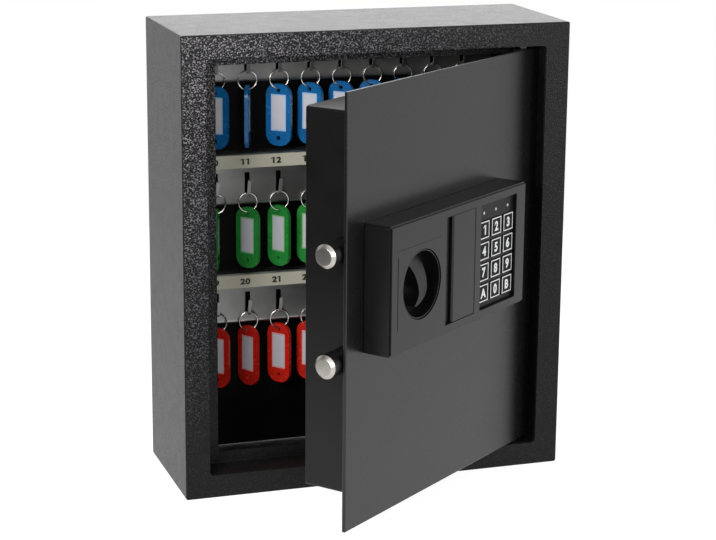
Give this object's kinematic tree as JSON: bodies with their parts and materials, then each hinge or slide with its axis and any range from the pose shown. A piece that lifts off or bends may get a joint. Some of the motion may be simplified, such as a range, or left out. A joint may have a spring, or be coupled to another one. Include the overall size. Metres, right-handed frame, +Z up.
{
  "type": "key cabinet",
  "caption": "Wall-mounted steel key cabinet with an open hinged door, electronic lock with knob and keypad, two round bolts, and hook rails with coloured tags.",
  "frame": {"origin": "centre of the back panel's wall face", "axes": "+Z up, +Y into the wall, so the door faces -Y; +X to the right as seen from the front"},
  "size_m": [0.314, 0.2725, 0.365],
  "materials": {
    "coat": "black hammer powder coat",
    "satin": "dark grey satin powder coat",
    "housing": "dark grey moulded plastic",
    "black": "black plastic",
    "keys": "black keys",
    "zinc": "zinc-plated sheet",
    "nickel": "nickel-plated",
    "brass": "plain",
    "board": "circuit board",
    "strip": "cream strip",
    "tag_blue": "blue",
    "tag_green": "green",
    "tag_red": "red"
  },
  "bodies": {
    "cabinet": {"cabinet_shell": "coat", "door_frame": "coat", "back_panel": "coat", "hook_rail_upper": "zinc", "hook_rail_middle": "zinc", "hook_rail_lower": "zinc", "number_strip_upper": "strip", "number_strip_middle": "strip", "number_strip_lower": "strip"},
    "door": {"door_plate": "satin", "door_pan": "coat", "hinge_lug_top": "coat", "hinge_lug_foot": "coat", "hinge_pin_top": "zinc", "hinge_pin_foot": "zinc", "lock_fascia": "housing", "keypad_plate": "black", "keypad_board": "board", "emergency_lock_barrel": "zinc", "solenoid": "zinc", "bolt_guide": "zinc", "battery_box": "black"},
    "knob_and_cam": {"knob": "housing", "drive_cam": "zinc"},
    "bolts": {"bolt_carriage": "zinc", "bolt_upper": "nickel", "bolt_lower": "nickel"},
    "plunger": {"solenoid_plunger": "nickel"},
    "lock_cover": {"lock_cover": "housing"},
    "emergency_plug": {"emergency_lock_plug": "brass"},
    "battery_cover": {"battery_cover": "black"},
    "key_1": {"key_1": "keys"},
    "key_2": {"key_2": "keys"},
    "key_3": {"key_3": "keys"},
    "key_4": {"key_4": "keys"},
    "key_5": {"key_5": "keys"},
    "key_6": {"key_6": "keys"},
    "key_7": {"key_7": "keys"},
    "key_8": {"key_8": "keys"},
    "key_9": {"key_9": "keys"},
    "key_a": {"key_a": "keys"},
    "key_0": {"key_0": "keys"},
    "key_b": {"key_b": "keys"},
    "key_tag_01": {"key_tag_01": "tag_blue"},
    "key_tag_02": {"key_tag_02": "tag_blue"},
    "key_tag_03": {"key_tag_03": "tag_blue"},
    "key_tag_04": {"key_tag_04": "tag_blue"},
    "key_tag_05": {"key_tag_05": "tag_blue"},
    "key_tag_06": {"key_tag_06": "tag_blue"},
    "key_tag_07": {"key_tag_07": "tag_blue"},
    "key_tag_08": {"key_tag_08": "tag_blue"},
    "key_tag_09": {"key_tag_09": "tag_blue"},
    "key_tag_10": {"key_tag_10": "tag_green"},
    "key_tag_11": {"key_tag_11": "tag_green"},
    "key_tag_12": {"key_tag_12": "tag_green"},
    "key_tag_19": {"key_tag_19": "tag_red"},
    "key_tag_20": {"key_tag_20": "tag_red"},
    "key_tag_21": {"key_tag_21": "tag_red"}
  },
  "joints": [
    {"name": "door_hinge", "type": "hinge", "parent": "cabinet", "child": "door", "pos_m": [0.122, -0.105, 0], "axis": [0, 0, 1], "range_deg": [-38, 67]},
    {"name": "knob_turn", "type": "hinge", "parent": "door", "child": "knob_and_cam", "pos_m": [-0.01199, -0.24699, 0.015], "axis": [-0.6157, 0.788, 0], "range_deg": [0, 90]},
    {"name": "bolt_slide", "type": "slide", "parent": "door", "child": "bolts", "axis": [0.788, 0.6157, 0], "range_m": [0, 0.012]},
    {"name": "lock_cover_slide", "type": "slide", "parent": "door", "child": "lock_cover", "axis": [-0.788, -0.6157, 0], "range_m": [0, 0.0095]},
    {"name": "emergency_plug_turn", "type": "hinge", "parent": "door", "child": "emergency_plug", "pos_m": [0.04135, -0.20164, 0.026], "axis": [-0.6157, 0.788, 0], "range_deg": [0, 90]},
    {"name": "plunger_slide", "type": "slide", "parent": "door", "child": "plunger", "axis": [0, 0, -1], "range_m": [-0.004, 0]},
    {"name": "battery_cover_slide", "type": "slide", "parent": "door", "child": "battery_cover", "axis": [0, 0, -1], "range_m": [0, 0.02]},
    {"name": "key_1_press", "type": "slide", "parent": "door", "child": "key_1", "axis": [-0.6157, 0.788, 0], "range_m": [0, 0.0007], "stiffness_N_per_m": 300, "springref_m": -0.0005},
    {"name": "key_2_press", "type": "slide", "parent": "door", "child": "key_2", "axis": [-0.6157, 0.788, 0], "range_m": [0, 0.0007], "stiffness_N_per_m": 300, "springref_m": -0.0005},
    {"name": "key_3_press", "type": "slide", "parent": "door", "child": "key_3", "axis": [-0.6157, 0.788, 0], "range_m": [0, 0.0007], "stiffness_N_per_m": 300, "springref_m": -0.0005},
    {"name": "key_4_press", "type": "slide", "parent": "door", "child": "key_4", "axis": [-0.6157, 0.788, 0], "range_m": [0, 0.0007], "stiffness_N_per_m": 300, "springref_m": -0.0005},
    {"name": "key_5_press", "type": "slide", "parent": "door", "child": "key_5", "axis": [-0.6157, 0.788, 0], "range_m": [0, 0.0007], "stiffness_N_per_m": 300, "springref_m": -0.0005},
    {"name": "key_6_press", "type": "slide", "parent": "door", "child": "key_6", "axis": [-0.6157, 0.788, 0], "range_m": [0, 0.0007], "stiffness_N_per_m": 300, "springref_m": -0.0005},
    {"name": "key_7_press", "type": "slide", "parent": "door", "child": "key_7", "axis": [-0.6157, 0.788, 0], "range_m": [0, 0.0007], "stiffness_N_per_m": 300, "springref_m": -0.0005},
    {"name": "key_8_press", "type": "slide", "parent": "door", "child": "key_8", "axis": [-0.6157, 0.788, 0], "range_m": [0, 0.0007], "stiffness_N_per_m": 300, "springref_m": -0.0005},
    {"name": "key_9_press", "type": "slide", "parent": "door", "child": "key_9", "axis": [-0.6157, 0.788, 0], "range_m": [0, 0.0007], "stiffness_N_per_m": 300, "springref_m": -0.0005},
    {"name": "key_a_press", "type": "slide", "parent": "door", "child": "key_a", "axis": [-0.6157, 0.788, 0], "range_m": [0, 0.0007], "stiffness_N_per_m": 300, "springref_m": -0.0005},
    {"name": "key_0_press", "type": "slide", "parent": "door", "child": "key_0", "axis": [-0.6157, 0.788, 0], "range_m": [0, 0.0007], "stiffness_N_per_m": 300, "springref_m": -0.0005},
    {"name": "key_b_press", "type": "slide", "parent": "door", "child": "key_b", "axis": [-0.6157, 0.788, 0], "range_m": [0, 0.0007], "stiffness_N_per_m": 300, "springref_m": -0.0005},
    {"name": "key_tag_01_swing", "type": "hinge", "parent": "cabinet", "child": "key_tag_01", "pos_m": [-0.1056, -0.0191, 0.13876], "axis": [-1, 0, 0], "range_deg": [0, 25]},
    {"name": "key_tag_02_swing", "type": "hinge", "parent": "cabinet", "child": "key_tag_02", "pos_m": [-0.0792, -0.0191, 0.13876], "axis": [-1, 0, 0], "range_deg": [0, 25]},
    {"name": "key_tag_03_swing", "type": "hinge", "parent": "cabinet", "child": "key_tag_03", "pos_m": [-0.0528, -0.0191, 0.13876], "axis": [-1, 0, 0], "range_deg": [0, 25]},
    {"name": "key_tag_04_swing", "type": "hinge", "parent": "cabinet", "child": "key_tag_04", "pos_m": [-0.0264, -0.0191, 0.13876], "axis": [-1, 0, 0], "range_deg": [0, 25]},
    {"name": "key_tag_05_swing", "type": "hinge", "parent": "cabinet", "child": "key_tag_05", "pos_m": [0, -0.0191, 0.13876], "axis": [-1, 0, 0], "range_deg": [0, 25]},
    {"name": "key_tag_06_swing", "type": "hinge", "parent": "cabinet", "child": "key_tag_06", "pos_m": [0.0264, -0.0191, 0.13876], "axis": [-1, 0, 0], "range_deg": [0, 25]},
    {"name": "key_tag_07_swing", "type": "hinge", "parent": "cabinet", "child": "key_tag_07", "pos_m": [0.0528, -0.0191, 0.13876], "axis": [-1, 0, 0], "range_deg": [0, 25]},
    {"name": "key_tag_08_swing", "type": "hinge", "parent": "cabinet", "child": "key_tag_08", "pos_m": [0.0792, -0.0191, 0.13876], "axis": [-1, 0, 0], "range_deg": [0, 25]},
    {"name": "key_tag_09_swing", "type": "hinge", "parent": "cabinet", "child": "key_tag_09", "pos_m": [0.1056, -0.0191, 0.13876], "axis": [-1, 0, 0], "range_deg": [0, 25]},
    {"name": "key_tag_10_swing", "type": "hinge", "parent": "cabinet", "child": "key_tag_10", "pos_m": [-0.1056, -0.0191, 0.03876], "axis": [-1, 0, 0], "range_deg": [0, 25]},
    {"name": "key_tag_11_swing", "type": "hinge", "parent": "cabinet", "child": "key_tag_11", "pos_m": [-0.0792, -0.0191, 0.03876], "axis": [-1, 0, 0], "range_deg": [0, 25]},
    {"name": "key_tag_12_swing", "type": "hinge", "parent": "cabinet", "child": "key_tag_12", "pos_m": [-0.0528, -0.0191, 0.03876], "axis": [-1, 0, 0], "range_deg": [0, 25]},
    {"name": "key_tag_19_swing", "type": "hinge", "parent": "cabinet", "child": "key_tag_19", "pos_m": [-0.1056, -0.0191, -0.06124], "axis": [-1, 0, 0], "range_deg": [0, 25]},
    {"name": "key_tag_20_swing", "type": "hinge", "parent": "cabinet", "child": "key_tag_20", "pos_m": [-0.0792, -0.0191, -0.06124], "axis": [-1, 0, 0], "range_deg": [0, 25]},
    {"name": "key_tag_21_swing", "type": "hinge", "parent": "cabinet", "child": "key_tag_21", "pos_m": [-0.0528, -0.0191, -0.06124], "axis": [-1, 0, 0], "range_deg": [0, 25]}
  ],
  "couplings": [
    {"joint": "knob_turn", "follows": "bolt_slide", "rad_per_m": 130.9}
  ]
}
